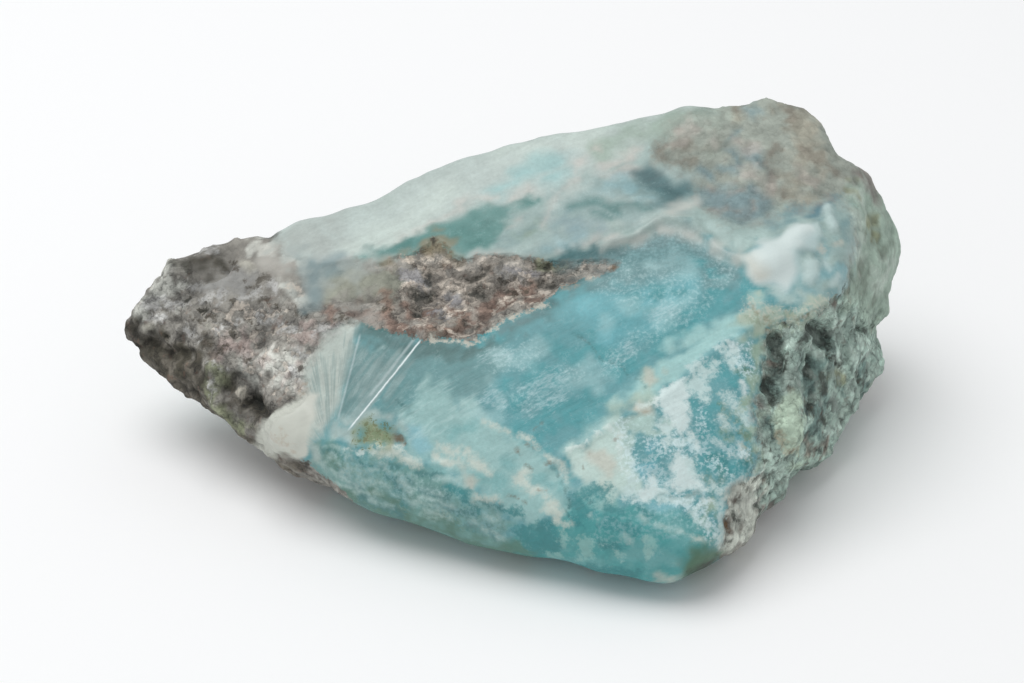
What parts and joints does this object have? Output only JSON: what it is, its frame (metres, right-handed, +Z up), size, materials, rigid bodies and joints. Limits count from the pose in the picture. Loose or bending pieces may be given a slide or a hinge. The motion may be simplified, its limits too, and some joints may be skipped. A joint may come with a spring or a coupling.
{
  "type": "rough larimar stone",
  "caption": "Wedge-shaped piece of rough larimar: smooth blue-green pectolite faces broken out of rough grey-brown matrix, resting on a flat underside.",
  "frame": {"origin": "on the surface it rests on, under the middle of the stone's length and depth", "axes": "+X along the stone from its pointed nose to its thick end, +Y from the low front edge to the back, +Z up"},
  "size_m": [0.0623, 0.0404, 0.0234],
  "materials": {
    "larimar": "silky on the blue faces, rough and granular on the grey-brown matrix"
  },
  "bodies": {
    "root": {"larimar_stone": "larimar"}
  },
  "joints": []
}
